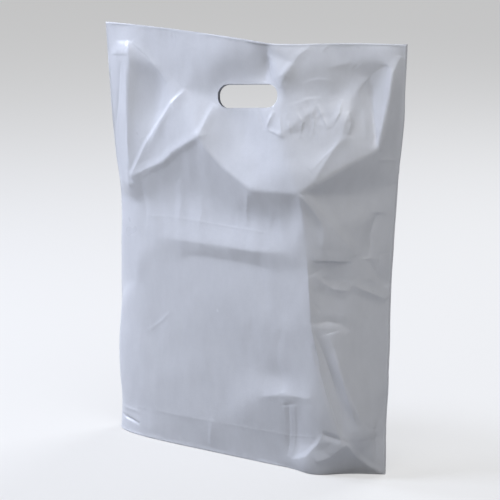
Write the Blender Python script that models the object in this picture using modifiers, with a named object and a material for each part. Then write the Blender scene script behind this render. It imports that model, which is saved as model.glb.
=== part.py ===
"""A plain plastic carrier bag, 15 by 18 inches with a 3 inch bottom gusset.

The bag is one piece of white film. It stands on its opened gusset with the mouth
at the top, bent like a shallow V in plan, and it keeps the folds of a bag that has
been filled. The front panel is a net of named folds, the back panel is a plainer
net, and the two meet at the side welds and round the base.
"""
import math

import bmesh
import bpy
from mathutils import Matrix, Vector
from mathutils.geometry import delaunay_2d_cdt

# Driving sizes in metres
BAG_WIDTH = 0.381
BAG_HEIGHT = 0.457
GUSSET_DEPTH = 0.076
FILM_THICKNESS = 0.0008
WELD_WIDTH = 0.0026
MOUTH_GAP = 0.020
LIP_SAG = 0.2
HANDLE_WIDTH = 0.088
HANDLE_HEIGHT = 0.025
HANDLE_CORNER = 0.0115
HANDLE_DROP = 0.058
HANDLE_SLIP = math.radians(40.0)
HANDLE_DIP = math.radians(10.0)
PLAN_TURN = math.radians(12.0)
CUTTER_DEPTH = 0.120

# The bag that the fold points below were set out on: width, gusset and height in mm
PATTERN = Vector((381.0, 76.0, 457.0))
SUBDIVISION_LEVELS = 1

# Fold points in mm: x from left to right, y from front to back, z up from the floor
LEFT_WELD = [
    (-188, 40, 0), (-189, 41, 75), (-187, 38, 150), (-182, 32, 220), (-176, 24, 270),
    (-178, 17, 302), (-183, 15, 352), (-185, 15, 385), (-188, 16, 417), (-192, 18, 459),
]
RIGHT_WELD = [
    (166, 0, 0), (166, 1, 60), (168, 1, 92), (169, 2, 157), (168, 4, 193), (171, 4, 254),
    (175, 5, 318), (178, 7, 350), (181, 8, 412), (183, 8, 460),
]
FRONT_LIP = [(-154, 5, 461), (-49, -18, 461), (18, -32, 459), (43, -35, 456), (77, -31, 458),
             (95, -25, 459), (139, -9, 461)]
FRONT_FOOT = [(-181, 21, 0), (-144, 3, 0), (-60, -10, 0), (20, -22, 0), (90, -33, 0)]
BACK_FOOT = [(-172, 68, 0), (-140, 77, 0), (-20, 60, 0), (102, 42, 0)]

FRONT = {
    # The flat band under the mouth and the upright fold down the left side
    "band_left": (-181, 14, 441),
    "band_knee": (-153, 3, 442),
    "band_wing": (-105, -5, 416),
    "band_end": (-64, -15, 397),
    "side_top": (-154, -2, 429),
    "side_mid": (-155, 0, 351),
    "side_foot": (-155, 3, 282),
    "strip_top": (-169, 9, 396),
    "strip_low": (-173, 12, 326),
    "left_hollow": (-120, 10, 384),
    "fan_low": (-119, -7, 335),
    "fan_mid": (-90, -14, 381),
    # The shoulder, from the left side up to the handle and down again
    "shoulder_low": (-100, -11, 317),
    "shoulder": (-45, -33, 351),
    "shoulder_drop": (-16, -36, 321),
    "edge_mid": (31, -51, 303),
    "corner": (96, -61, 307),
    "hollow_mid": (0, -25, 366),
    "wedge_low": (40, -43, 340),
    "wedge_top": (45, -43, 369),
    # The film round the handle
    "handle_left": (-33, -18, 398),
    "handle_low_left": (-24, -22, 386),
    "handle_low_mid": (20, -32, 386),
    "handle_low_right": (44, -42, 387),
    "handle_right": (64, -44, 404),
    "handle_top_left": (-9, -22, 418),
    "handle_top_mid": (22, -25, 419),
    "strip_head": (42, -31, 449),
    "strip_foot": (39, -26, 420),
    "handle_top_right": (60, -46, 420),
    "lip_left": (-19, -24, 438),
    "lip_fold": (73, -39, 438),
    # The crumpled middle to the right of the handle
    "crumple_a": (68, -52, 366),
    "crumple_b": (94, -45, 367),
    "crumple_c": (92, -47, 386),
    "crumple_d": (110, -35, 398),
    "crumple_e": (86, -36, 417),
    "crumple_f": (74, -55, 340),
    "crumple_g": (112, -45, 341),
    "crumple_end": (133, -36, 368),
    "pinch_low": (108, -27, 435),
    "pinch_top": (133, -15, 440),
    "pleat_top": (134, -31, 392),
    # The bright wedge beside the right weld
    "gather": (164, -19, 351),
    "gather_left": (149, -6, 405),
    "gather_high": (141, -9, 425),
    "gather_right": (170, -13, 391),
    "gather_peak": (178, 1, 450),
    "ridge_low": (108, -56, 317),
    "ridge_mid": (129, -45, 330),
    "ridge_high": (148, -33, 342),
    # The hollow and the ledge under the shoulder
    "left_bulge": (-170, 14, 278),
    "ledge_left": (-118, -4, 231),
    "ledge_mid": (-21, -31, 235),
    "ledge_right": (82, -55, 236),
    "top_left": (-140, 4, 262),
    "dip_far": (-81, -5, 281),
    "dip_left": (-38, -16, 277),
    "dip_mid": (-5, -24, 269),
    "dip_right": (22, -32, 271),
    "dip_end": (67, -46, 270),
    "under_left": (-99, -6, 216),
    "under_mid": (-14, -27, 219),
    "under_right": (72, -46, 219),
    # The upright edge between the full front and the slack side
    "edge_high": (97, -56, 278),
    "edge_ledge": (101, -54, 232),
    "edge_waist": (105, -53, 166),
    "edge_low": (114, -50, 120),
    "edge_knee": (124, -47, 84),
    "edge_toe": (135, -40, 40),
    # The plain lower front
    "bulge_high": (-176, 18, 217),
    "bulge_mid": (-182, 22, 147),
    "bulge_low": (-185, 22, 75),
    "bulge_dent": (-180, 24, 20),
    "face_left": (-148, 5, 180),
    "face_left_low": (-146, 4, 90),
    "scratch_low": (-135, 3, 120),
    "scratch_high": (-93, -6, 150),
    "face_mid": (-55, -17, 160),
    "face_right": (30, -37, 165),
    "face_low": (-60, -14, 85),
    "face_low_right": (9, -25, 100),
    "face_dip": (67, -40, 101),
    "gusset_left": (-131, 0, 30),
    "gusset_mid": (-30, -19, 36),
    "gusset_right": (69, -35, 42),
    "tuck_left": (31, -35, 78),
    "tuck_right": (108, -50, 88),
    "dart_top": (80, -42, 72),
    "dart_foot": (76, -31, 21),
    "toe_fold": (112, -49, 42),
    # The slack side between the upright edge and the right weld
    "sail": (125, -46, 269),
    "sail_low": (110, -54, 241),
    "pocket_high": (139, -20, 300),
    "pocket_mid": (145, -19, 258),
    "crease_end": (140, -28, 237),
    "crease_low": (109, -46, 219),
    "crease_mid": (122, -33, 208),
    "crease_turn": (138, -30, 215),
    "patch_tip": (154, -15, 236),
    "patch_high": (160, -11, 280),
    "patch_low": (162, -8, 212),
    "roll_start": (136, -34, 161),
    "roll_high": (124, -43, 146),
    "roll_mid": (144, -38, 88),
    "roll_low": (158, -26, 53),
    "roll_side": (149, -18, 112),
    "valley_high": (117, -42, 132),
    "valley_low": (132, -36, 80),
    "toe_side": (152, -22, 22),
}

# Each chain is a fold along the named points; the number is how crisp it is
FRONT_FOLDS = [
    (0.85, ["band_left", "band_knee", "band_wing", "band_end"]),
    (0.95, ["side_top", "side_mid", "side_foot"]),
    (0.75, ["band_knee", "side_top"]),
    (0.65, ["strip_top", "strip_low"]),
    (0.95, ["side_foot", "fan_low", "fan_mid", "band_end"]),
    (0.95, ["side_foot", "shoulder_low", "shoulder", "shoulder_drop", "edge_mid"]),
    (0.85, ["shoulder", "handle_low_left"]),
    (0.95, ["edge_mid", "wedge_low", "wedge_top"]),
    (0.85, ["handle_low_mid", "wedge_top", "handle_low_right"]),
    (0.65, ["edge_mid", "corner"]),
    (0.75, ["wedge_top", "crumple_a", "crumple_b", "crumple_end"]),
    (0.75, ["crumple_a", "crumple_c", "crumple_d"]),
    (0.85, ["pleat_top", "crumple_end", "ridge_low"]),
    (0.95, ["corner", "ridge_low", "ridge_mid", "ridge_high", "gather"]),
    (0.95, ["gather", "gather_left", "gather_high", "gather_peak"]),
    (0.85, ["gather", "gather_right", "gather_peak"]),
    (0.65, ["pinch_low", "pinch_top"]),
    (0.75, ["strip_foot", "handle_top_right", "lip_fold"]),
    (0.85, ["strip_head", "strip_foot"]),
    (0.85, ["ledge_left", "ledge_mid", "ledge_right"]),
    (0.45, ["under_left", "under_mid", "under_right"]),
    (0.85, ["corner", "edge_high", "edge_ledge", "edge_waist", "edge_low", "edge_knee", "edge_toe"]),
    (0.75, ["corner", "sail", "sail_low"]),
    (0.85, ["sail_low", "crease_end"]),
    (0.85, ["crease_low", "crease_mid"]),
    (0.85, ["crease_turn", "patch_low"]),
    (0.75, ["patch_high", "patch_tip", "patch_low"]),
    (0.85, ["edge_waist", "roll_start"]),
    (0.65, ["edge_waist", "valley_high", "valley_low", "edge_toe"]),
    (0.55, ["roll_high", "roll_mid", "roll_low"]),
    (0.75, ["scratch_low", "scratch_high"]),
    (0.65, ["gusset_left", "gusset_mid", "gusset_right"]),
    (0.75, ["tuck_left", "tuck_right"]),
    (0.75, ["dart_top", "dart_foot"]),
    (0.75, ["dart_foot", "toe_fold", "edge_toe"]),
]

BACK = {
    "low_left": (-172, 68, 80),
    "low_right": (106, 42, 90),
    "mid_left": (-166, 62, 180),
    "mid_right": (106, 40, 190),
    "shoulder_left": (-150, 54, 278),
    "shoulder_mid": (-30, 48, 288),
    "shoulder_right": (94, 32, 292),
    "panel_low": (-40, 62, 80),
    "panel_mid": (-40, 58, 180),
    "left_wing": (-155, 26, 352),
    "right_wing": (150, 10, 352),
    "taper_left": (-100, 16, 368),
    "taper_mid": (0, -6, 372),
    "taper_right": (90, -20, 372),
    "band_left": (-120, 12, 428),
    "band_mid": (-49, 0, 428),
    "band_centre": (14, -12, 430),
    "band_right": (80, -12, 430),
    "band_end": (140, 4, 428),
}

BACK_FOLDS = [
    (0.6, ["low_left", "mid_left", "shoulder_left"]),
    (0.6, ["low_right", "mid_right", "shoulder_right"]),
    (0.7, ["shoulder_left", "shoulder_mid", "shoulder_right"]),
    (0.6, ["shoulder_left", "left_wing"]),
    (0.6, ["shoulder_right", "right_wing"]),
    (0.6, ["shoulder_left", "taper_left", "band_mid"]),
    (0.6, ["shoulder_right", "taper_right", "band_right"]),
]


def set_out(point):
    """Turn a fold point of the pattern bag into metres on a bag of the driving sizes."""
    return Vector((
        point[0] / PATTERN.x * BAG_WIDTH,
        point[1] / PATTERN.y * GUSSET_DEPTH,
        point[2] / PATTERN.z * BAG_HEIGHT,
    ))


def outline_of_panel(foot, left, lip, right):
    """Join the foot, welds and lip of a panel into one loop, seen from the front."""
    return [left[0]] + foot + right + lip[::-1] + left[:0:-1]


def lip_of_back(front_lip):
    """Set the back lip behind the front lip, farthest apart and lowest in the middle."""
    count = len(front_lip) + 1
    lip = []
    for place, point in enumerate(front_lip):
        gap = MOUTH_GAP * math.sqrt(math.sin(math.pi * (place + 1) / count))
        lip.append(point + Vector((0.0, gap, -LIP_SAG * gap)))
    return lip


def add_panel(mesh, crease, outline, points, folds, faces_front):
    """Triangulate a panel between its folds and add it; return its outline's vertices."""
    names = list(points)
    places = outline + [set_out(points[name]) for name in names]
    number = {name: len(outline) + place for place, name in enumerate(names)}
    edges = []
    sharpness = {}
    for crisp, chain in folds:
        for start, end in zip(chain, chain[1:]):
            edges.append((number[start], number[end]))
            sharpness[frozenset(edges[-1])] = crisp
    flat = [Vector((place.x, place.z)) for place in places]
    result = delaunay_2d_cdt(flat, edges, [list(range(len(outline)))], 1, 1e-7)
    origins = result[3]
    verts = []
    for own in origins:
        verts.append(mesh.verts.new(places[own[0]]))
    for corners in result[2]:
        ordered = corners if faces_front else corners[::-1]
        mesh.faces.new([verts[corner] for corner in ordered])
    mesh.edges.ensure_lookup_table()
    slot_of = {own[0]: vert for own, vert in zip(origins, verts)}
    for pair, crisp in sharpness.items():
        start, end = (slot_of[corner] for corner in pair)
        edge = mesh.edges.get((start, end))
        if edge is not None:
            edge[crease] = crisp
    return [slot_of[place] for place in range(len(outline))]


def bag_surface():
    """Build the open film surface: two panels, the side welds and the base."""
    left = [set_out(point) for point in LEFT_WELD]
    right = [set_out(point) for point in RIGHT_WELD]
    lip = [set_out(point) for point in FRONT_LIP]
    weld = Vector((0.0, WELD_WIDTH, 0.0))
    front_foot = [set_out(point) for point in FRONT_FOOT]
    back_foot = [set_out(point) for point in BACK_FOOT]
    front_outline = outline_of_panel(front_foot, left, lip, right)
    back_outline = outline_of_panel(
        back_foot,
        [point + weld for point in left],
        lip_of_back(lip),
        [point + weld for point in right],
    )
    mesh = bmesh.new()
    crease = mesh.edges.layers.float.new("crease_edge")
    front = add_panel(mesh, crease, front_outline, FRONT, FRONT_FOLDS, True)
    back = add_panel(mesh, crease, back_outline, BACK, BACK_FOLDS, False)

    # The foot runs left to right, then the right weld goes up, the lip back and the left weld down
    front_corner = len(front_foot) + 1
    back_corner = len(back_foot) + 1
    front_right = front[front_corner:front_corner + len(right)]
    back_right = back[back_corner:back_corner + len(right)]
    front_left = [front[0]] + front[:-len(left):-1]
    back_left = [back[0]] + back[:-len(left):-1]
    for low in range(len(right) - 1):
        mesh.faces.new((front_right[low], back_right[low], back_right[low + 1], front_right[low + 1]))
    for low in range(len(left) - 1):
        mesh.faces.new((front_left[low + 1], back_left[low + 1], back_left[low], front_left[low]))
    mesh.faces.new(back[:back_corner + 1] + front[:front_corner + 1][::-1])
    for chain in (front_right, back_right, front_left, back_left,
                  front[:front_corner + 1], back[:back_corner + 1]):
        for start, end in zip(chain, chain[1:]):
            mesh.edges.get((start, end))[crease] = 1.0
    for pair in ((front[0], back[0]), (front[front_corner], back[back_corner])):
        mesh.edges.get(pair)[crease] = 1.0
    bmesh.ops.triangulate(mesh, faces=[face for face in mesh.faces if len(face.verts) > 4])
    bmesh.ops.recalc_face_normals(mesh, faces=mesh.faces)

    # The folds were set out along the line between the welds; the front panel faces -Y
    bmesh.ops.rotate(mesh, matrix=Matrix.Rotation(PLAN_TURN, 3, 'Z'), verts=mesh.verts)
    return mesh


def centre_on_floor(bag, cutter):
    """Move the bag and its die so that the middle of the bag's box stands over the origin."""
    bpy.context.view_layer.update()
    shape = bag.evaluated_get(bpy.context.evaluated_depsgraph_get())
    for axis in (0, 1):
        reach = [corner[axis] for corner in shape.bound_box]
        middle = (min(reach) + max(reach)) / 2.0
        bag.location[axis] -= middle
        cutter.location[axis] -= middle


def handle_cutter(collection):
    """Make the die that cuts the handle hole through both panels.

    The back panel has slid to the left and sagged a little behind the front one, so the
    die runs at a slant and is narrower than the hole that it leaves.
    """
    left = set_out(FRONT["handle_left"])
    right = set_out(FRONT["handle_right"])
    middle = (left + right) / 2.0
    middle.z = BAG_HEIGHT - HANDLE_DROP
    turn = math.atan2(right.y - left.y, right.x - left.x)
    mesh = bmesh.new()
    bmesh.ops.create_cube(mesh, size=1.0)
    die_width = HANDLE_WIDTH * math.cos(HANDLE_SLIP)
    bmesh.ops.scale(mesh, vec=(die_width, CUTTER_DEPTH, HANDLE_HEIGHT), verts=mesh.verts)
    through = [edge for edge in mesh.edges
               if abs(edge.verts[0].co.y - edge.verts[1].co.y) > CUTTER_DEPTH / 2.0]
    bmesh.ops.bevel(mesh, geom=through, offset=HANDLE_CORNER, segments=6, affect='EDGES', profile=0.5)
    data = bpy.data.meshes.new("handle_die")
    mesh.to_mesh(data)
    mesh.free()
    cutter = bpy.data.objects.new("handle_die", data)
    cutter.location = Matrix.Rotation(PLAN_TURN, 3, 'Z') @ middle
    cutter.rotation_euler = (-HANDLE_DIP, 0.0, turn + HANDLE_SLIP + PLAN_TURN)
    cutter.display_type = 'WIRE'
    cutter.hide_render = True
    collection.objects.link(cutter)
    return cutter


def white_film():
    """White polyethylene film, slightly cool and softly shiny."""
    material = bpy.data.materials.new("white_film")
    material.use_nodes = True
    shader = material.node_tree.nodes["Principled BSDF"]
    shader.inputs["Base Color"].default_value = (0.80, 0.82, 0.86, 1.0)
    shader.inputs["Roughness"].default_value = 0.42
    shader.inputs["Metallic"].default_value = 0.0
    return material


def carrier_bag(collection, cutters):
    """Model the bag: folded surface, film thickness, then the handle hole."""
    mesh = bag_surface()
    data = bpy.data.meshes.new("carrier_bag")
    mesh.to_mesh(data)
    mesh.free()
    data.shade_smooth()
    bag = bpy.data.objects.new("carrier_bag", data)
    collection.objects.link(bag)
    bag.data.materials.append(white_film())
    soften = bag.modifiers.new("Soften folds", 'SUBSURF')
    soften.levels = SUBDIVISION_LEVELS
    soften.render_levels = SUBDIVISION_LEVELS
    film = bag.modifiers.new("Film", 'SOLIDIFY')
    film.thickness = FILM_THICKNESS
    film.offset = -1.0
    film.use_even_offset = True
    film.use_quality_normals = True
    hole = bag.modifiers.new("Handle hole", 'BOOLEAN')
    hole.operation = 'DIFFERENCE'
    hole.solver = 'EXACT'
    hole.object = handle_cutter(cutters)
    centre_on_floor(bag, hole.object)


def main():
    for thing in list(bpy.data.objects):
        bpy.data.objects.remove(thing, do_unlink=True)
    parts = bpy.data.collections.new("carrier bag")
    cutters = bpy.data.collections.new("cutters")
    for collection in (parts, cutters):
        bpy.context.scene.collection.children.link(collection)
    carrier_bag(parts, cutters)


main()
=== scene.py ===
"""A plain plastic carrier bag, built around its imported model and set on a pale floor."""
import math

import bmesh
import bpy
import numpy
from mathutils import Matrix, Vector, kdtree, noise
from mathutils.geometry import delaunay_2d_cdt


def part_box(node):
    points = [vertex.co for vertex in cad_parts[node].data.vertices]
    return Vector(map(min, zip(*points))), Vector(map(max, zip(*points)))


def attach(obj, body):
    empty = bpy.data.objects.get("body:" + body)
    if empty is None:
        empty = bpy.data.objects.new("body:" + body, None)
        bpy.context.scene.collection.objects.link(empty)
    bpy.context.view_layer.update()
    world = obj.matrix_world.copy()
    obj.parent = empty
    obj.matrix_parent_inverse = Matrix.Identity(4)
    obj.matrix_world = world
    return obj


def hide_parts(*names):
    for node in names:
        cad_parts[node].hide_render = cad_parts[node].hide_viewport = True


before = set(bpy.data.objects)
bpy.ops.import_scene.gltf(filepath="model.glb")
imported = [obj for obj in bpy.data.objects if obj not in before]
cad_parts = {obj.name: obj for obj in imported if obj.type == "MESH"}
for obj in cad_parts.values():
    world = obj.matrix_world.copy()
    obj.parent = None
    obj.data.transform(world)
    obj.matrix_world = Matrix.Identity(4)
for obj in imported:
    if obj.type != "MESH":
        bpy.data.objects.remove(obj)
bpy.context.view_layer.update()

bl_info = {
    "name": "Carrier bag",
    "version": (1, 0, 0),
    "blender": (4, 5, 0),
    "location": "View3D > Sidebar > Carrier bag",
    "description": "Builds a folded film carrier bag and the studio that it stands in",
    "category": "Object",
}

BODY = "root"
NODE = "carrier_bag"

# Millimetres in a metre
MM = 1000.0

# The bag that the fold points below were set out on: width, gusset and height in mm
PATTERN = Vector((381.0, 76.0, 457.0))
# Width of the side welds in metres
WELD_WIDTH = 0.0026

# How the panels are triangulated: only inside their outline, with points this near made one
INSIDE_ONLY = 1
SAME_POINT = 1e-7

# The "front" layer is 1 on the front panel; over this value a vertex lies wholly on it
ON_FRONT = 0.999
# A distance in metres that stands for no rim nearby
NO_RIM = 1.0

# A crease fades out over this share of its length at each end, and over no more than FADE_MOST mm;
# the power makes its crest sharp
FADE_SHARE = 0.35
FADE_MOST = 12.0
CREST_POWER = 1.6

# Noise on the film: span in mm along x and along z, slices for each metre of depth, layer
RIPPLE_NOISE = (15.0, 38.0, 30.0, 0.0)
BLOTCH_NOISE = (26.0, 34.0, 20.0, 7.0)
CRUMPLE_NOISE = (9.0, 13.0, 0.0, 3.0)
# The ripples grow from nothing at the floor to their full height this many mm over it
RIPPLE_RISE = 20.0

# Crumples to the right of the handle: their middle and reach in mm, the share of their height
# under which they are left out, and the height and fall of their sharp crests
CRUMPLE_CENTRE = (100, 380)
CRUMPLE_REACH = (34, 24)
CRUMPLE_LEAST = 0.05
CREST_HEIGHT = 0.65
CREST_FALL = 3.2

# Width of the rim's bead for each unit of its height
BEAD_SPREAD = 6.0

# The handle's die: its length for each unit of the gusset, and steps round each corner
DIE_LENGTH = 1.6
DIE_STEPS = 12

# Turns sharper than this stay sharp in the shading
SHARP_TURN = math.radians(60.0)

# The film's look: share of the fine noise in its bump, spread of its roughness, and the values
# of the upright noise between which its clouding fades
FINE_SHARE = 0.4
ROUGHNESS_SPREAD = 0.12
CLOUD_FADE = (0.25, 0.75)

# The lamps: direction from the bag, distance and side in metres, colour
LAMPS = {
    "key": ((-0.40, -0.44, 0.80), 2.2, 0.5, (0.82, 0.89, 1.08)),
    "side": ((-0.90, -0.20, 0.38), 2.2, 0.6, (0.82, 0.89, 1.08)),
    "rear": ((-0.10, 0.78, 0.62), 2.4, 1.2, (0.94, 0.96, 1.0)),
    "fill": ((0.42, -0.36, 0.83), 2.4, 1.6, (0.96, 0.97, 0.99)),
}
SKY_COLOUR = (0.98, 0.98, 1.0)

# The camera's sensor in mm, and in metres how far it sees and how far the floor reaches
SENSOR_WIDTH = 36.0
CLIP_END = 50.0
FLOOR_REACH = 12.0

# Fold points in mm: x from left to right, y from front to back, z up from the floor
LEFT_WELD = [
    (-188, 40, 0), (-189, 41, 75), (-187, 38, 150), (-182, 32, 220), (-176, 24, 270),
    (-178, 17, 302), (-183, 15, 352), (-185, 15, 385), (-188, 16, 417), (-192, 18, 459),
]
RIGHT_WELD = [
    (166, 0, 0), (166, 1, 60), (168, 1, 92), (169, 2, 157), (168, 4, 193), (171, 4, 254),
    (175, 5, 318), (178, 7, 350), (181, 8, 412), (183, 8, 460),
]
FRONT_LIP = [(-154, 5, 461), (-49, -18, 461), (18, -32, 459), (43, -35, 456), (77, -31, 458),
             (95, -25, 459), (139, -9, 461)]
FRONT_FOOT = [(-181, 21, 0), (-144, 3, 0), (-60, -10, 0), (20, -22, 0), (90, -33, 0)]
BACK_FOOT = [(-172, 68, 0), (-140, 77, 0), (-20, 60, 0), (102, 42, 0)]

FRONT = {
    # The flat band under the mouth and the upright fold down the left side
    "band_left": (-181, 14, 441),
    "band_knee": (-153, 3, 442),
    "band_wing": (-105, -5, 416),
    "band_end": (-64, -15, 397),
    "side_top": (-154, -2, 429),
    "side_mid": (-155, 0, 351),
    "side_foot": (-155, 3, 282),
    "strip_top": (-169, 9, 396),
    "strip_low": (-173, 12, 326),
    "left_hollow": (-120, 10, 384),
    "fan_low": (-119, -7, 335),
    "fan_mid": (-90, -14, 381),
    # The shoulder, from the left side up to the handle and down again
    "shoulder_low": (-100, -11, 317),
    "shoulder": (-45, -33, 351),
    "shoulder_drop": (-16, -36, 321),
    "edge_mid": (31, -51, 303),
    "corner": (96, -61, 307),
    "hollow_mid": (0, -25, 366),
    "wedge_low": (40, -43, 340),
    "wedge_top": (45, -43, 369),
    # The film round the handle
    "handle_left": (-33, -18, 398),
    "handle_low_left": (-24, -22, 386),
    "handle_low_mid": (20, -32, 386),
    "handle_low_right": (44, -42, 387),
    "handle_right": (64, -44, 404),
    "handle_top_left": (-9, -22, 418),
    "handle_top_mid": (22, -25, 419),
    "strip_head": (42, -31, 449),
    "strip_foot": (39, -26, 420),
    "handle_top_right": (60, -46, 420),
    "lip_left": (-19, -24, 438),
    "lip_fold": (73, -39, 438),
    # The crumpled middle to the right of the handle
    "crumple_a": (68, -52, 366),
    "crumple_b": (94, -45, 367),
    "crumple_c": (92, -47, 386),
    "crumple_d": (110, -35, 398),
    "crumple_e": (86, -36, 417),
    "crumple_f": (74, -55, 340),
    "crumple_g": (112, -45, 341),
    "crumple_end": (133, -36, 368),
    "pinch_low": (108, -27, 435),
    "pinch_top": (133, -15, 440),
    "pleat_top": (134, -31, 392),
    # The bright wedge beside the right weld
    "gather": (164, -19, 351),
    "gather_left": (149, -6, 405),
    "gather_high": (141, -9, 425),
    "gather_right": (170, -13, 391),
    "gather_peak": (178, 1, 450),
    "ridge_low": (108, -56, 317),
    "ridge_mid": (129, -45, 330),
    "ridge_high": (148, -33, 342),
    # The hollow and the ledge under the shoulder
    "left_bulge": (-168, 11, 278),
    "ledge_left": (-118, -4, 231),
    "ledge_mid": (-21, -30, 235),
    "ledge_right": (82, -54, 236),
    "top_left": (-140, 4, 262),
    "dip_far": (-81, -5, 281),
    "dip_left": (-38, -16, 277),
    "dip_mid": (-5, -24, 269),
    "dip_right": (22, -32, 271),
    "dip_end": (67, -46, 270),
    "under_left": (-99, -6, 216),
    "under_mid": (-14, -27, 219),
    "under_right": (72, -46, 219),
    # The upright edge between the full front and the slack side
    "edge_high": (97, -56, 278),
    "edge_ledge": (101, -54, 232),
    "edge_waist": (105, -53, 166),
    "edge_low": (114, -50, 120),
    "edge_knee": (124, -47, 84),
    "edge_toe": (135, -40, 40),
    # The plain lower front
    "bulge_high": (-176, 18, 217),
    "bulge_mid": (-182, 22, 147),
    "bulge_low": (-185, 22, 75),
    "bulge_dent": (-180, 24, 20),
    "face_left": (-148, 5, 180),
    "face_left_low": (-146, 4, 90),
    "scratch_low": (-135, 3, 120),
    "scratch_high": (-93, -6, 150),
    "face_mid": (-55, -17, 160),
    "face_right": (30, -37, 165),
    "face_low": (-60, -14, 85),
    "face_low_right": (9, -25, 100),
    "face_dip": (67, -40, 101),
    "gusset_left": (-131, 0, 30),
    "gusset_mid": (-30, -19, 36),
    "gusset_right": (69, -35, 42),
    "tuck_left": (31, -35, 78),
    "tuck_right": (108, -50, 88),
    "dart_top": (80, -42, 72),
    "dart_foot": (76, -31, 21),
    "toe_fold": (112, -45, 42),
    # The slack side between the upright edge and the right weld
    "sail": (125, -46, 269),
    "sail_low": (110, -54, 241),
    "pocket_high": (139, -20, 300),
    "pocket_mid": (145, -19, 258),
    "crease_end": (140, -28, 237),
    "crease_low": (109, -46, 219),
    "crease_mid": (122, -33, 208),
    "crease_turn": (138, -30, 215),
    "patch_tip": (154, -15, 236),
    "patch_high": (160, -11, 280),
    "patch_low": (162, -8, 212),
    "roll_start": (136, -34, 161),
    "roll_high": (124, -43, 146),
    "roll_mid": (144, -38, 88),
    "roll_low": (158, -26, 53),
    "roll_side": (149, -18, 112),
    "valley_high": (117, -42, 132),
    "valley_low": (132, -36, 80),
    "toe_side": (152, -22, 22),
}

# Each chain is a fold along the named points; the number is how crisp it is
FRONT_FOLDS = [
    (0.85, ["band_left", "band_knee", "band_wing", "band_end"]),
    (0.95, ["side_top", "side_mid", "side_foot"]),
    (0.75, ["band_knee", "side_top"]),
    (0.65, ["strip_top", "strip_low"]),
    (0.95, ["side_foot", "fan_low", "fan_mid", "band_end"]),
    (0.95, ["side_foot", "shoulder_low", "shoulder", "shoulder_drop", "edge_mid"]),
    (0.85, ["shoulder", "handle_low_left"]),
    (0.95, ["edge_mid", "wedge_low", "wedge_top"]),
    (0.85, ["handle_low_mid", "wedge_top", "handle_low_right"]),
    (0.65, ["edge_mid", "corner"]),
    (0.5, ["wedge_top", "crumple_a", "crumple_b", "crumple_end"]),
    (0.45, ["crumple_a", "crumple_c", "crumple_d"]),
    (0.85, ["pleat_top", "crumple_end", "ridge_low"]),
    (0.95, ["corner", "ridge_low", "ridge_mid", "ridge_high", "gather"]),
    (0.95, ["gather", "gather_left", "gather_high", "gather_peak"]),
    (0.85, ["gather", "gather_right", "gather_peak"]),
    (0.65, ["pinch_low", "pinch_top"]),
    (0.75, ["strip_foot", "handle_top_right", "lip_fold"]),
    (0.85, ["strip_head", "strip_foot"]),
    (0.5, ["ledge_left", "ledge_mid", "ledge_right"]),
    (0.45, ["under_left", "under_mid", "under_right"]),
    (0.85, ["corner", "edge_high", "edge_ledge", "edge_waist", "edge_low", "edge_knee",
            "edge_toe"]),
    (0.75, ["corner", "sail", "sail_low"]),
    (0.85, ["sail_low", "crease_end"]),
    (0.85, ["crease_low", "crease_mid"]),
    (0.85, ["crease_turn", "patch_low"]),
    (0.75, ["patch_high", "patch_tip", "patch_low"]),
    (0.85, ["edge_waist", "roll_start"]),
    (0.65, ["edge_waist", "valley_high", "valley_low", "edge_toe"]),
    (0.55, ["roll_high", "roll_mid", "roll_low"]),
    (0.75, ["scratch_low", "scratch_high"]),
    (0.65, ["gusset_left", "gusset_mid", "gusset_right"]),
    (0.75, ["tuck_left", "tuck_right"]),
    (0.75, ["dart_top", "dart_foot"]),
    (0.75, ["dart_foot", "toe_fold", "edge_toe"]),
]

BACK = {
    "low_left": (-172, 68, 80),
    "low_right": (106, 42, 90),
    "mid_left": (-166, 62, 180),
    "mid_right": (106, 40, 190),
    "shoulder_left": (-150, 54, 278),
    "shoulder_mid": (-30, 48, 288),
    "shoulder_right": (94, 32, 292),
    "panel_low": (-40, 62, 80),
    "panel_mid": (-40, 58, 180),
    "left_wing": (-155, 26, 352),
    "right_wing": (150, 10, 352),
    "taper_left": (-100, 16, 368),
    "taper_mid": (0, -6, 372),
    "taper_right": (90, -20, 372),
    "band_left": (-120, 12, 428),
    "band_mid": (-49, 0, 428),
    "band_centre": (14, -12, 430),
    "band_right": (80, -12, 430),
    "band_end": (140, 4, 428),
}

BACK_FOLDS = [
    (0.6, ["low_left", "mid_left", "shoulder_left"]),
    (0.6, ["low_right", "mid_right", "shoulder_right"]),
    (0.7, ["shoulder_left", "shoulder_mid", "shoulder_right"]),
    (0.6, ["shoulder_left", "left_wing"]),
    (0.6, ["shoulder_right", "right_wing"]),
    (0.6, ["shoulder_left", "taper_left", "band_mid"]),
    (0.6, ["shoulder_right", "taper_right", "band_right"]),
]

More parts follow.
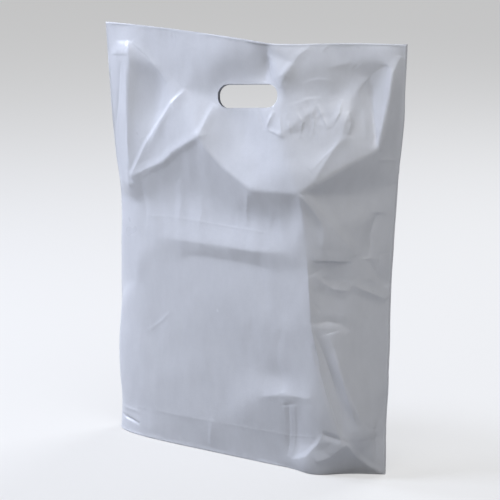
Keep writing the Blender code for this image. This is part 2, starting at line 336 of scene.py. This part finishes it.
# Fine creases on the front: height in mm (hollows are negative), half widths in mm to the left
# and to the right of the line's own direction, points (x, z) in mm
CREASES = [
    # Upper left: the fan, the shoulder, the side ridge and the corner
    (1.4, 6, 14, [(-151, 291), (-140, 310), (-127, 332), (-108, 356), (-89, 380), (-69, 398)]),
    (1.3, 10, 8, [(-151, 292), (-128, 304), (-101, 316), (-83, 331), (-44, 351), (-34, 354)]),
    (0.9, 10, 4, [(-153, 442), (-150, 422), (-152, 377), (-154, 333), (-152, 302)]),
    (-0.5, 4, 4, [(-165, 418), (-172, 374), (-178, 342)]),
    (0.8, 9, 2.5, [(-182, 425), (-152, 429)]),
    (1.2, 8, 12, [(-44, 350), (-37, 369), (-30, 386)]),
    (0.4, 6, 6, [(-44, 350), (-33, 337), (-14, 324), (13, 311)]),
    (0.9, 10, 8, [(-149, 442), (-124, 427), (-108, 412), (-99, 402)]),
    # The strip over the handle and the bright wedge under it
    (-1.0, 8, 8, [(42, 457), (38, 438), (36, 415)]),
    (1.2, 10, 8, [(91, 458), (78, 446), (71, 432), (59, 413)]),
    (0.5, 3, 3, [(102, 452), (107, 458)]),
    (0.2, 1.6, 1.6, [(127, 428), (142, 449)]),
    (0.2, 1.6, 1.6, [(130, 427), (147, 446)]),
    (-0.7, 5, 5, [(31, 388), (37, 378), (44, 367)]),
    (0.9, 5, 5, [(55, 388), (46, 368)]),
    # Crumples to the right of the handle
    (0.8, 5, 3, [(46, 368), (59, 366), (72, 363)]),
    (0.6, 2, 3, [(64, 381), (69, 365)]),
    (0.5, 2, 3, [(75, 380), (79, 366)]),
    (0.6, 2, 3, [(84, 388), (90, 379), (89, 363)]),
    (0.5, 2, 3, [(99, 389), (102, 377), (101, 364)]),
    (0.9, 6, 3, [(103, 398), (110, 383), (117, 373)]),
    (0.9, 3, 6, [(126, 404), (126, 390), (120, 374)]),
    (0.4, 3, 9, [(83, 417), (99, 423), (116, 422)]),
    (0.4, 3, 9, [(75, 396), (92, 403), (107, 405)]),
    (1.4, 3, 5, [(135, 391), (138, 380), (137, 368)]),
    (0.9, 10, 10, [(137, 368), (127, 355), (115, 340), (106, 328)]),
    # The wedge beside the right weld
    (1.5, 8, 8, [(178, 448), (173, 432), (172, 403), (169, 372), (165, 351)]),
    (-1.0, 8, 8, [(151, 418), (152, 397), (158, 372), (165, 353)]),
    (0.5, 6, 6, [(138, 414), (146, 392), (153, 362)]),
    (0.5, 6, 4, [(163, 341), (176, 340)]),
    (-0.5, 3, 3, [(179, 412), (177, 381), (174, 339)]),
    # The slack side
    (1.6, 8, 15, [(99, 308), (115, 286), (135, 254), (142, 239)]),
    (1.8, 12, 3, [(107, 235), (122, 236), (140, 234)]),
    (-3.2, 12, 9, [(160, 284), (155, 263), (153, 236)]),
    (-2.4, 9, 7, [(153, 236), (159, 219), (167, 204)]),
    (-0.7, 3, 3, [(170, 241), (162, 240), (161, 229), (163, 215)]),
    (2.6, 14, 12, [(107, 221), (114, 210), (123, 204), (139, 202)]),
    (2.6, 10, 9, [(139, 211), (148, 203), (157, 197), (166, 190)]),
    (-0.8, 2.5, 2.5, [(107, 189), (109, 185), (112, 180)]),
    (-2.0, 9, 9, [(105, 167), (119, 170), (131, 167), (139, 159)]),
    (0.3, 2.5, 2.5, [(148, 178), (154, 171)]),
    (2.4, 24, 13, [(121, 157), (134, 118), (145, 75), (152, 41)]),
    (-1.4, 6, 6, [(107, 144), (120, 102), (132, 59), (139, 42)]),
    # The toe and the dart
    (1.2, 5, 12, [(71, 11), (94, 21), (108, 35), (115, 47)]),
    (-2.0, 6, 8, [(115, 47), (129, 44), (139, 40)]),
    (3.2, 9, 9, [(139, 39), (129, 31), (118, 23), (104, 19)]),
    (2.2, 6, 10, [(139, 39), (144, 23), (151, 12), (163, 1)]),
    (-1.0, 3, 3, [(162, 63), (160, 39), (160, 14)]),
    (-0.6, 2, 2, [(156, 59), (158, 53), (162, 51)]),
    (0.3, 2, 2, [(80, 75), (78, 45), (73, 16)]),
    (-0.9, 6, 7, [(72, 78), (70, 46), (66, 14)]),
    (-0.4, 3, 3, [(61, 71), (83, 76)]),
    (0.5, 9, 7, [(31, 74), (65, 85), (97, 84), (107, 90)]),
    # The lower left corner and the gusset line
    (-1.8, 3.5, 3.5, [(-180, 17), (-161, 15), (-145, 13)]),
    (0.2, 1.6, 1.6, [(-160, 30), (-122, 34), (-82, 34), (-28, 36), (25, 37), (73, 38), (113, 44)]),
    (0.8, 12, 5, [(-37, 39), (-41, 7)]),
    (0.6, 4, 4, [(-180, 25), (-166, 26), (-144, 27)]),
    # The ledge and the soft upright folds over it
    (0.2, 1.6, 1.6, [(-133, 251), (-95, 255), (-56, 256), (-8, 256), (50, 257)]),
    (0.6, 10, 10, [(-82, 297), (-79, 275), (-82, 248)]),
    (0.6, 10, 10, [(-51, 283), (-48, 268), (-52, 250)]),
    (0.4, 7, 7, [(5, 275), (3, 256), (11, 238)]),
    (0.7, 8, 8, [(25, 299), (17, 277), (18, 260)]),
    (-0.6, 8, 8, [(-137, 288), (-133, 262), (-131, 239)]),
    (0.4, 4, 2, [(-134, 119), (-111, 135), (-93, 150)]),
    (0.4, 8, 8, [(57, 286), (48, 262), (53, 240)]),
    (-0.5, 10, 10, [(63, 154), (56, 119), (65, 86)]),
]

# Fine creases on the back, set down in the same way
BACK_CREASES = [
    (1.4, 12, 9, [(-126, 300), (-104, 334), (-60, 372)]),
    (1.2, 9, 12, [(94, 292), (72, 340), (46, 380)]),
    (0.8, 8, 8, [(-30, 288), (-20, 330), (-32, 366)]),
    (1.2, 12, 4, [(-118, 235), (-40, 231), (60, 238), (96, 236)]),
    (-0.9, 7, 7, [(-126, 98), (-60, 90), (20, 96), (70, 108)]),
    (1.0, 6, 6, [(-104, 64), (-92, 18)]),
    (-0.8, 5, 5, [(-20, 52), (-14, 16)]),
    (1.4, 5, 10, [(146, 322), (122, 366), (130, 404)]),
    (1.2, 10, 5, [(-166, 330), (-146, 378), (-158, 424)]),
    (0.5, 3, 3, [(-66, 178), (-34, 190), (-8, 196)]),
    (0.5, 3, 3, [(22, 142), (40, 134), (64, 122)]),
    (0.7, 10, 10, [(-84, 210), (-76, 118)]),
    (0.7, 10, 10, [(32, 214), (36, 126)]),
    (0.9, 5, 4, [(60, 392), (92, 376), (118, 384)]),
    (0.8, 4, 5, [(-96, 396), (-72, 384), (-52, 390)]),
    (0.5, 3, 3, [(104, 250), (128, 262)]),
    (-0.6, 4, 4, [(96, 170), (128, 182)]),
]

# Soft swells and hollows of the front: height, reach in x and z, middle (x, z), all in mm
SWELLS = [
    (6.0, 40, 30, (98, 330)),
    (3.4, 14, 30, (134, 246)),
    (2.5, 16, 46, (184, 378)),
    (-4.0, 46, 26, (104, 404)),
    (-1.6, 24, 13, (62, 100)),
    (13.0, 22, 22, (100, 0)),
    (3.5, 44, 30, (-18, 438)),
]


class Field:
    """A shader socket that can be added, subtracted and multiplied like a number."""

    def __init__(self, wiring, socket):
        self.wiring = wiring
        self.socket = socket

    def beside(self, name):
        """Another output of the same node."""
        return Field(self.wiring, self.socket.node.outputs[name])

    def maths(self, operation, *values):
        return self.wiring.node("ShaderNodeMath", dict(enumerate(values)), operation=operation)

    def __add__(self, other):
        return self.maths('ADD', self, other)

    def __radd__(self, other):
        return self.maths('ADD', other, self)

    def __sub__(self, other):
        return self.maths('SUBTRACT', self, other)

    def __rsub__(self, other):
        return self.maths('SUBTRACT', other, self)

    def __mul__(self, other):
        return self.maths('MULTIPLY', self, other)

    def __rmul__(self, other):
        return self.maths('MULTIPLY', other, self)

    def clamped(self):
        return self.maths('MINIMUM', self.maths('MAXIMUM', self, 0.0), 1.0)

    def ramp(self, low, high):
        """Run from 0 at low to 1 at high, clamped."""
        return ((self - low) * (1.0 / (high - low))).clamped()


class Wiring:
    """A new material and its nodes."""

    def __init__(self, name):
        self.material = bpy.data.materials.new(name)
        self.material.use_nodes = True
        self.tree = self.material.node_tree
        self.tree.nodes.clear()

    def node(self, kind, sockets, output=0, **settings):
        """Add a node: its settings, then the values or links of its sockets; return one output."""
        node = self.tree.nodes.new(kind)
        for name, value in settings.items():
            setattr(node, name, value)
        for name, value in sockets.items():
            if isinstance(value, Field):
                self.tree.links.new(value.socket, node.inputs[name])
            else:
                node.inputs[name].default_value = value
        return Field(self, node.outputs[output]) if node.outputs else None

    def noise(self, place, scale, detail, roughness):
        return self.node("ShaderNodeTexNoise", {
            "Vector": place, "Scale": scale, "Detail": detail, "Roughness": roughness})

    def blend(self, share, first, second):
        """Mix two colours; numbers pick the sockets, as Mix has several pairs named A and B."""
        return self.node("ShaderNodeMix", {0: share, 6: first, 7: second}, 2, data_type='RGBA')

    def mix(self, share, first, second):
        """Mix two shaders."""
        return self.node("ShaderNodeMixShader", {0: share, 1: first, 2: second})

    def finish(self, surface):
        """Join a shader to the material's surface and return the material."""
        self.node("ShaderNodeOutputMaterial", {"Surface": surface})
        return self.material


def opaque(colour, share=1.0):
    """A colour, or a share of its brightness, with full alpha."""
    return (*(part * share for part in colour), 1.0)


class FilmSettings(bpy.types.PropertyGroup):
    """Sizes of the bag and of its film."""

    width: bpy.props.FloatProperty(
        name="Width", description="Weld to weld along the film",
        default=0.381, unit='LENGTH')
    height: bpy.props.FloatProperty(
        name="Height", description="Floor to mouth",
        default=0.457, unit='LENGTH')
    gusset: bpy.props.FloatProperty(
        name="Gusset", description="Depth of the opened base",
        default=0.076, unit='LENGTH')
    mouth_gap: bpy.props.FloatProperty(
        name="Mouth gap", description="Widest gap between the lips",
        default=0.020, unit='LENGTH')
    lip_sag: bpy.props.FloatProperty(
        name="Lip sag", description="Drop of the back lip as a share of the mouth gap",
        default=0.2, min=0.0, max=1.0, subtype='FACTOR')
    thickness: bpy.props.FloatProperty(
        name="Thickness", description="Film thickness as drawn",
        default=0.0003, unit='LENGTH')
    handle_width: bpy.props.FloatProperty(
        name="Handle width", description="Length of the hand hole",
        default=0.088, unit='LENGTH')
    handle_height: bpy.props.FloatProperty(
        name="Handle height", description="Height of the hand hole",
        default=0.025, unit='LENGTH')
    handle_corner: bpy.props.FloatProperty(
        name="Handle corner", description="Corner radius of the hole",
        default=0.0115, unit='LENGTH')
    handle_drop: bpy.props.FloatProperty(
        name="Handle drop", description="Mouth to the middle of the hole",
        default=0.058, unit='LENGTH')
    handle_slip: bpy.props.FloatProperty(
        name="Handle slip", description="Slant of the die through the two panels",
        default=math.radians(40.0), subtype='ANGLE')
    handle_dip: bpy.props.FloatProperty(
        name="Handle dip", description="Downward tilt of the die towards the back panel",
        default=math.radians(10.0), subtype='ANGLE')
    turn: bpy.props.FloatProperty(
        name="Turn", description="Turn in plan that makes the front panel face -Y",
        default=math.radians(12.0), subtype='ANGLE')
    levels: bpy.props.IntProperty(
        name="Levels", description="Subdivision levels of the fold net",
        default=5, min=1, max=5)
    kept: bpy.props.FloatProperty(
        name="Kept", description="Share of the subdivided faces that is kept",
        default=0.165, min=0.05, max=1.0, subtype='FACTOR')
    crease: bpy.props.FloatProperty(
        name="Crease", description="Strength of the fine creases",
        default=1.0)
    crumple: bpy.props.FloatProperty(
        name="Crumple", description="Height of the crumples beside the handle",
        default=0.0003, unit='LENGTH')
    ripple: bpy.props.FloatProperty(
        name="Ripple", description="Height of the soft ripples all over the film",
        default=0.00045, unit='LENGTH')
    bead: bpy.props.FloatProperty(
        name="Bead", description="Height of the bead inside the front panel's rim",
        default=0.0004, unit='LENGTH')


class LookSettings(bpy.types.PropertyGroup):
    """How the white film takes the light."""

    colour: bpy.props.FloatVectorProperty(
        name="Colour", description="Colour of the film",
        default=(0.84, 0.85, 0.88), size=3, subtype='COLOR')
    roughness: bpy.props.FloatProperty(
        name="Roughness", description="Blur of the sheen",
        default=0.3, min=0.0, max=1.0, subtype='FACTOR')
    clouding: bpy.props.FloatProperty(
        name="Clouding", description="How much darker the film's faint upright clouding is",
        default=0.07, min=0.0, max=1.0, subtype='FACTOR')
    glow: bpy.props.FloatProperty(
        name="Glow", description="Share of the light that passes through",
        default=0.08, min=0.0, max=1.0, subtype='FACTOR')


class StageSettings(bpy.types.PropertyGroup):
    """The camera, the lights and the floor."""

    azimuth: bpy.props.FloatProperty(
        name="Azimuth", description="Camera's turn round the bag",
        default=math.radians(42.0), subtype='ANGLE')
    elevation: bpy.props.FloatProperty(
        name="Elevation", description="Camera's height angle",
        default=math.radians(11.5), subtype='ANGLE')
    distance: bpy.props.FloatProperty(
        name="Distance", description="Camera to the point that it looks at",
        default=3.226, unit='LENGTH')
    lens: bpy.props.FloatProperty(
        name="Lens", description="Focal length in millimetres",
        default=216.0, unit='CAMERA')
    target: bpy.props.FloatVectorProperty(
        name="Target", description="Point on the pattern that the camera looks at",
        default=(0.0001, 0.0015, 0.2263), size=3, subtype='TRANSLATION')
    key_power: bpy.props.FloatProperty(
        name="Key", description="Power of the key light in watts",
        default=26.0, unit='POWER')
    side_power: bpy.props.FloatProperty(
        name="Side", description="Power of the light from the left in watts",
        default=23.0, unit='POWER')
    rear_power: bpy.props.FloatProperty(
        name="Rear", description="Power of the light from behind in watts",
        default=30.0, unit='POWER')
    fill_power: bpy.props.FloatProperty(
        name="Fill", description="Power of the fill light in watts",
        default=27.0, unit='POWER')
    sky: bpy.props.FloatProperty(
        name="Sky", description="Strength of the even light from all round",
        default=0.10)
    floor: bpy.props.FloatVectorProperty(
        name="Floor", description="Colour of the floor",
        default=(0.82, 0.82, 0.82), size=3, subtype='COLOR')
    bounce: bpy.props.FloatProperty(
        name="Bounce", description="Share of the floor's colour that lights the bag",
        default=0.42, min=0.0, max=1.0, subtype='FACTOR')
    evenness: bpy.props.FloatProperty(
        name="Evenness", description="Share of the floor's look that no shadow reaches",
        default=0.62, min=0.0, max=1.0, subtype='FACTOR')


def set_out(point, film):
    """Turn a fold point of the pattern bag into metres on a bag of the chosen sizes."""
    return Vector((
        point[0] / PATTERN.x * film.width,
        point[1] / PATTERN.y * film.gusset,
        point[2] / PATTERN.z * film.height,
    ))


def lip_of_back(front_lip, film):
    """Set the back lip behind the front lip, farthest apart and lowest in the middle."""
    count = len(front_lip) + 1
    lip = []
    for place, point in enumerate(front_lip):
        gap = film.mouth_gap * math.sqrt(math.sin(math.pi * (place + 1) / count))
        lip.append(point + Vector((0.0, gap, -film.lip_sag * gap)))
    return lip


def add_panel(mesh, crease, side, outline, points, folds, film, faces_front):
    """Triangulate a panel between its folds and add it; return its outline's vertices."""
    names = list(points)
    places = outline + [set_out(points[name], film) for name in names]
    number = {name: len(outline) + place for place, name in enumerate(names)}
    edges = []
    sharpness = {}
    for crisp, chain in folds:
        for start, end in zip(chain, chain[1:]):
            edges.append((number[start], number[end]))
            sharpness[frozenset(edges[-1])] = crisp
    flat = [Vector((place.x, place.z)) for place in places]
    result = delaunay_2d_cdt(flat, edges, [list(range(len(outline)))], INSIDE_ONLY, SAME_POINT)
    triangles, origins = result[2:4]
    verts = [mesh.verts.new(places[own[0]]) for own in origins]
    for vert in verts:
        vert[side] = float(faces_front)
    for corners in triangles:
        ordered = corners if faces_front else corners[::-1]
        mesh.faces.new([verts[corner] for corner in ordered])
    slot_of = {own[0]: vert for own, vert in zip(origins, verts)}
    for pair, crisp in sharpness.items():
        edge = mesh.edges.get([slot_of[corner] for corner in pair])
        if edge is not None:
            edge[crease] = crisp
    return [slot_of[place] for place in range(len(outline))]


def fold_net(film):
    """Build the coarse net of the whole bag: two panels, the side welds and the base."""
    left, right, lip, front_foot, back_foot = (
        [set_out(point, film) for point in line]
        for line in (LEFT_WELD, RIGHT_WELD, FRONT_LIP, FRONT_FOOT, BACK_FOOT))
    weld = Vector((0.0, WELD_WIDTH, 0.0))
    far_left = [point + weld for point in left]
    far_right = [point + weld for point in right]
    far_lip = lip_of_back(lip, film)
    front_outline = [left[0]] + front_foot + right + lip[::-1] + left[:0:-1]
    back_outline = [far_left[0]] + back_foot + far_right + far_lip[::-1] + far_left[:0:-1]
    mesh = bmesh.new()
    crease = mesh.edges.layers.float.new("crease_edge")
    side = mesh.verts.layers.float.new("front")
    front = add_panel(mesh, crease, side, front_outline, FRONT, FRONT_FOLDS, film, True)
    back = add_panel(mesh, crease, side, back_outline, BACK, BACK_FOLDS, film, False)
    front_corner = len(front_foot) + 1
    back_corner = len(back_foot) + 1
    front_right = front[front_corner:front_corner + len(right)]
    back_right = back[back_corner:back_corner + len(right)]
    front_left = [front[0]] + front[:-len(left):-1]
    back_left = [back[0]] + back[:-len(left):-1]
    for low in range(len(right) - 1):
        mesh.faces.new((front_right[low], back_right[low],
                        back_right[low + 1], front_right[low + 1]))
    for low in range(len(left) - 1):
        mesh.faces.new((front_left[low + 1], back_left[low + 1],
                        back_left[low], front_left[low]))
    mesh.faces.new(back[:back_corner + 1] + front[:front_corner + 1][::-1])
    for chain in (front_right, back_right, front_left, back_left,
                  front[:front_corner + 1], back[:back_corner + 1]):
        for start, end in zip(chain, chain[1:]):
            mesh.edges.get((start, end))[crease] = 1.0
    for pair in ((front[0], back[0]), (front[front_corner], back[back_corner])):
        mesh.edges.get(pair)[crease] = 1.0
    bmesh.ops.triangulate(mesh, faces=[face for face in mesh.faces if len(face.verts) > 4])
    bmesh.ops.recalc_face_normals(mesh, faces=mesh.faces)
    bmesh.ops.rotate(mesh, matrix=Matrix.Rotation(film.turn, 3, 'Z'), verts=mesh.verts)
    return mesh


def add_object(name, mesh):
    """Turn a bmesh into an object of the scene."""
    data = bpy.data.meshes.new(name)
    mesh.to_mesh(data)
    mesh.free()
    thing = bpy.data.objects.new(name, data)
    bpy.context.scene.collection.objects.link(thing)
    return thing


def settle(thing):
    """Replace an object's mesh by the shape that its modifiers give it."""
    bpy.context.view_layer.update()
    depsgraph = bpy.context.evaluated_depsgraph_get()
    shape = bpy.data.meshes.new_from_object(thing.evaluated_get(depsgraph))
    old = thing.data
    thing.modifiers.clear()
    thing.data = shape
    bpy.data.meshes.remove(old)
    if not shape.polygons:
        raise RuntimeError(f"{thing.name} has no faces left")


def crease_profile(places, chain, left_width, right_width):
    """Height from 0 to 1 of a crease with a sharp crest that fades out at both ends."""
    best = numpy.zeros(len(places))
    corners = numpy.array(chain, float)
    spans = list(zip(corners, corners[1:]))
    length = sum(numpy.linalg.norm(end - start) for start, end in spans)
    fade = min(FADE_SHARE * length, FADE_MOST)
    run = 0.0
    for start, end in spans:
        step = end - start
        size = numpy.linalg.norm(step)
        offset = places - start
        along = numpy.clip(offset @ step / size ** 2, 0.0, 1.0)
        away = numpy.linalg.norm(offset - along[:, None] * step, axis=1)
        left = step[0] * offset[:, 1] - step[1] * offset[:, 0] > 0.0
        width = numpy.where(left, left_width, right_width)
        place = run + along * size
        ends = numpy.clip(numpy.minimum(place, length - place) / fade, 0.0, 1.0)
        crest = numpy.clip(1.0 - away / width, 0.0, 1.0) ** CREST_POWER * numpy.sqrt(ends)
        best = numpy.maximum(best, crest)
        run += size
    return best


def bell(places, middle, reach):
    """Run from 1 at a middle to nothing well past its reach."""
    away = (places - numpy.array(middle)) / numpy.array(reach)
    return numpy.exp(-(away ** 2).sum(axis=1))


def film_noise(kind, x, z, depth):
    """Noise at a place on the film, x and z in mm and depth in metres."""
    span_x, span_z, slices, layer = kind
    return noise.noise(Vector((x / span_x, z / span_z, layer + depth * slices)))


def rim_distance(mesh, points, front):
    """Distance in mm from each point of the front panel to the panel's own outline."""
    net = bmesh.new()
    net.from_mesh(mesh)
    rim = set()
    for edge in net.edges:
        ends = [vert.index for vert in edge.verts]
        if min(front[ends[0]], front[ends[1]]) > ON_FRONT:
            around = {vert.index for face in edge.link_faces for vert in face.verts}
            if edge.is_boundary or any(front[index] < ON_FRONT for index in around):
                rim.update(ends)
    net.free()
    tree = kdtree.KDTree(len(rim))
    for index in rim:
        tree.insert(points[index], index)
    tree.balance()
    return numpy.array([tree.find(point)[2] if on > ON_FRONT else NO_RIM
                        for point, on in zip(points, front)]) * MM


def crinkle(mesh, film):
    """Push the film in and out: creases and swells first, then ripples, crumples and the bead."""
    count = len(mesh.vertices)
    points = numpy.empty(count * 3)
    normals = numpy.empty(count * 3)
    front = numpy.empty(count)
    mesh.vertices.foreach_get("co", points)
    mesh.vertex_normals.foreach_get("vector", normals)
    mesh.attributes["front"].data.foreach_get("value", front)
    points = points.reshape(-1, 3)
    normals = normals.reshape(-1, 3)
    flat = points @ numpy.array(Matrix.Rotation(-film.turn, 3, 'Z')).T
    # Places are in mm on the pattern; the push is in mm until it is added to the points
    places = flat[:, [0, 2]] / numpy.array((film.width / PATTERN.x, film.height / PATTERN.z))
    push = numpy.zeros(count)
    for creases, on in ((CREASES, front), (BACK_CREASES, 1.0 - front)):
        for height, left_width, right_width, chain in creases:
            push += height * crease_profile(places, chain, left_width, right_width) * on
    push *= film.crease
    for height, reach_x, reach_z, middle in SWELLS:
        push += height * bell(places, middle, (reach_x, reach_z)) * front
    near = bell(places, CRUMPLE_CENTRE, CRUMPLE_REACH) * front
    for number, (x, z) in enumerate(places):
        depth = flat[number, 1]
        wave = film_noise(RIPPLE_NOISE, x, z, depth) + film_noise(BLOTCH_NOISE, x, z, depth)
        push[number] += wave * film.ripple * MM * min(1.0, z / RIPPLE_RISE)
        if near[number] > CRUMPLE_LEAST:
            crest = CREST_HEIGHT - CREST_FALL * abs(film_noise(CRUMPLE_NOISE, x, z, depth))
            push[number] += crest * near[number] * film.crumple * MM
    bead = film.bead * MM
    across = numpy.clip(rim_distance(mesh, points, front) / (bead * BEAD_SPREAD), 0.0, 1.0)
    push += bead * numpy.sin(math.pi * across)
    points += normals * push[:, None] / MM
    points[:, 2] = numpy.maximum(points[:, 2], 0.0)
    mesh.vertices.foreach_set("co", points.ravel())
    mesh.update()


def handle_die(film):
    """Make the die that cuts the handle hole through both panels, at a slant to them."""
    left = set_out(FRONT["handle_left"], film)
    right = set_out(FRONT["handle_right"], film)
    width = film.handle_width * math.cos(film.handle_slip)
    depth = film.gusset * DIE_LENGTH
    mesh = bmesh.new()
    bmesh.ops.create_cube(mesh, size=1.0)
    bmesh.ops.scale(mesh, vec=(width, depth, film.handle_height), verts=mesh.verts)
    # The four edges that run through the panels are rounded
    through = [edge for edge in mesh.edges
               if abs(edge.verts[0].co.y - edge.verts[1].co.y) > depth / 2.0]
    bmesh.ops.bevel(mesh, geom=through, offset=film.handle_corner, segments=DIE_STEPS,
                    affect='EDGES', profile=0.5)
    die = add_object("handle_die", mesh)
    middle = (left + right) / 2.0
    middle.z = film.height - film.handle_drop
    die.location = Matrix.Rotation(film.turn, 3, 'Z') @ middle
    slant = math.atan2(right.y - left.y, right.x - left.x)
    die.rotation_euler = (-film.handle_dip, 0.0, slant + film.handle_slip + film.turn)
    return die


def centre(mesh, low, high):
    """Move a mesh in x and y to the middle of a box; return how far it went."""
    moved = [0.0, 0.0, 0.0]
    for axis in (0, 1):
        places = [vert.co[axis] for vert in mesh.vertices]
        moved[axis] = (low[axis] + high[axis]) / 2.0 - (min(places) + max(places)) / 2.0
        for vert in mesh.vertices:
            vert.co[axis] += moved[axis]
    return moved


def white_film(look):
    """Milky polyethylene film: a soft sheen over a surface that lets some light through."""
    wiring = Wiring("white_film")
    place = wiring.node("ShaderNodeTexCoord", {}, "Object")
    fine = wiring.noise(place, scale=130.0, detail=4.0, roughness=0.6)
    soft = wiring.noise(place, scale=22.0, detail=2.0, roughness=0.5)
    bump = wiring.node("ShaderNodeBump", {
        "Strength": 0.22, "Distance": 0.002, "Height": fine * FINE_SHARE + soft})
    upright = wiring.node("ShaderNodeMapping", {"Vector": place, "Scale": (1.0, 1.0, 0.45)})
    cloud = wiring.noise(upright, scale=70.0, detail=4.0, roughness=0.65).ramp(*CLOUD_FADE)
    tint = wiring.blend(cloud, opaque(look.colour, 1.0 - look.clouding), opaque(look.colour))
    sheen = wiring.node("ShaderNodeBsdfPrincipled", {
        "Base Color": tint,
        "Specular IOR Level": 0.45,
        "Roughness": soft * ROUGHNESS_SPREAD + (look.roughness - ROUGHNESS_SPREAD / 2.0),
        "Normal": bump,
    })
    through = wiring.node("ShaderNodeBsdfTranslucent", {
        "Color": opaque(look.colour), "Normal": bump})
    return wiring.finish(wiring.mix(look.glow, sheen, through))


class CARRIER_OT_film(bpy.types.Operator):
    """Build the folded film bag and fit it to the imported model"""

    bl_idname = "carrier.film"
    bl_label = "Build the bag"

    def execute(self, context):
        scene = context.scene
        film = scene.carrier_film
        bag = add_object("film_bag", fold_net(film))
        bag.data.shade_smooth()
        soften = bag.modifiers.new("Soften folds", 'SUBSURF')
        soften.levels = film.levels
        soften.render_levels = film.levels
        settle(bag)
        crinkle(bag.data, film)
        thin = bag.modifiers.new("Fewer faces", 'DECIMATE')
        thin.ratio = film.kept
        settle(bag)
        die = handle_die(film)
        sheet = bag.modifiers.new("Film", 'SOLIDIFY')
        sheet.thickness = film.thickness
        sheet.offset = -1.0
        hole = bag.modifiers.new("Handle hole", 'BOOLEAN')
        hole.operation = 'DIFFERENCE'
        hole.solver = 'EXACT'
        hole.object = die
        settle(bag)
        bpy.data.objects.remove(die, do_unlink=True)
        bag.data.shade_smooth()
        bag.data.set_sharp_from_angle(angle=SHARP_TURN)
        low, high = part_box(NODE)
        scene.carrier_shift = centre(bag.data, low, high)
        bag.data.materials.clear()
        bag.data.materials.append(white_film(scene.carrier_look))
        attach(bag, BODY)
        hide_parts(NODE)
        return {'FINISHED'}


def add_camera(scene, stage, target):
    """Add the camera, turned towards a target."""
    back = Vector((
        math.sin(stage.azimuth) * math.cos(stage.elevation),
        -math.cos(stage.azimuth) * math.cos(stage.elevation),
        math.sin(stage.elevation),
    ))
    lens = bpy.data.cameras.new("camera")
    lens.lens = stage.lens
    lens.sensor_width = SENSOR_WIDTH
    lens.clip_end = CLIP_END
    camera = bpy.data.objects.new("camera", lens)
    camera.location = target + back * stage.distance
    camera.rotation_euler = back.to_track_quat('Z', 'Y').to_euler()
    scene.collection.objects.link(camera)
    scene.camera = camera


def add_lamp(name, target, power):
    """Add one of the soft square lamps, turned towards a target."""
    direction, distance, side, colour = LAMPS[name]
    data = bpy.data.lights.new(name, 'AREA')
    data.size = side
    data.energy = power
    data.color = colour
    lamp = bpy.data.objects.new(name, data)
    lamp.location = target + Vector(direction).normalized() * distance
    lamp.rotation_euler = (lamp.location - target).to_track_quat('Z', 'Y').to_euler()
    bpy.context.scene.collection.objects.link(lamp)


def add_sky(scene, stage):
    """Light the scene evenly from all round."""
    world = bpy.data.worlds.new("studio")
    world.use_nodes = True
    sky = world.node_tree.nodes["Background"]
    sky.inputs["Color"].default_value = opaque(SKY_COLOUR)
    sky.inputs["Strength"].default_value = stage.sky
    scene.world = world


def floor_paint(stage):
    """A matt floor that keeps its shadows and looks pale and even in the picture."""
    wiring = Wiring("floor")
    path = wiring.node("ShaderNodeLightPath", {}, "Is Camera Ray")
    seen = path + path.beside("Is Glossy Ray") + path.beside("Is Transmission Ray")
    seen = seen.clamped()
    shade = wiring.blend(seen, opaque(stage.floor, stage.bounce), opaque(stage.floor))
    matt = wiring.node("ShaderNodeBsdfDiffuse", {"Color": shade})
    glow = wiring.node("ShaderNodeEmission", {"Color": opaque(stage.floor), "Strength": 1.0})
    return wiring.finish(wiring.mix(seen * stage.evenness, matt, glow))


class CARRIER_OT_stage(bpy.types.Operator):
    """Set up the pale floor, the soft studio light and the camera"""

    bl_idname = "carrier.stage"
    bl_label = "Set the stage"

    def execute(self, context):
        scene = context.scene
        stage = scene.carrier_stage
        scene.view_settings.view_transform = 'Standard'
        turn = Matrix.Rotation(scene.carrier_film.turn, 3, 'Z')
        target = turn @ Vector(stage.target) + Vector(scene.carrier_shift)
        add_camera(scene, stage, target)
        add_lamp("key", target, stage.key_power)
        add_lamp("side", target, stage.side_power)
        add_lamp("rear", target, stage.rear_power)
        add_lamp("fill", target, stage.fill_power)
        add_sky(scene, stage)
        mesh = bmesh.new()
        bmesh.ops.create_grid(mesh, x_segments=1, y_segments=1, size=FLOOR_REACH)
        floor = add_object("floor", mesh)
        floor.data.materials.append(floor_paint(stage))
        return {'FINISHED'}


class CARRIER_PT_panel(bpy.types.Panel):
    """Sizes and looks of the bag in the 3D view's sidebar"""

    bl_label = "Carrier bag"
    bl_idname = "CARRIER_PT_panel"
    bl_space_type = 'VIEW_3D'
    bl_region_type = 'UI'
    bl_category = "Carrier bag"

    def draw(self, context):
        scene = context.scene
        for group in (scene.carrier_film, scene.carrier_look, scene.carrier_stage):
            for name in group.bl_rna.properties.keys():
                if name not in ("rna_type", "name"):
                    self.layout.prop(group, name)
        for operator in (CARRIER_OT_film, CARRIER_OT_stage):
            self.layout.operator(operator.bl_idname)


CLASSES = (FilmSettings, LookSettings, StageSettings,
           CARRIER_OT_film, CARRIER_OT_stage, CARRIER_PT_panel)


def register():
    for cls in CLASSES:
        bpy.utils.register_class(cls)
    bpy.types.Scene.carrier_film = bpy.props.PointerProperty(type=FilmSettings)
    bpy.types.Scene.carrier_look = bpy.props.PointerProperty(type=LookSettings)
    bpy.types.Scene.carrier_stage = bpy.props.PointerProperty(type=StageSettings)
    bpy.types.Scene.carrier_shift = bpy.props.FloatVectorProperty(
        name="Shift", description="How far the bag was moved to fit the packed model",
        size=3, subtype='TRANSLATION')


def unregister():
    for name in ("carrier_shift", "carrier_stage", "carrier_look", "carrier_film"):
        delattr(bpy.types.Scene, name)
    for cls in reversed(CLASSES):
        bpy.utils.unregister_class(cls)


def main():
    register()
    bpy.ops.carrier.film()
    bpy.ops.carrier.stage()


if __name__ == "__main__":
    main()
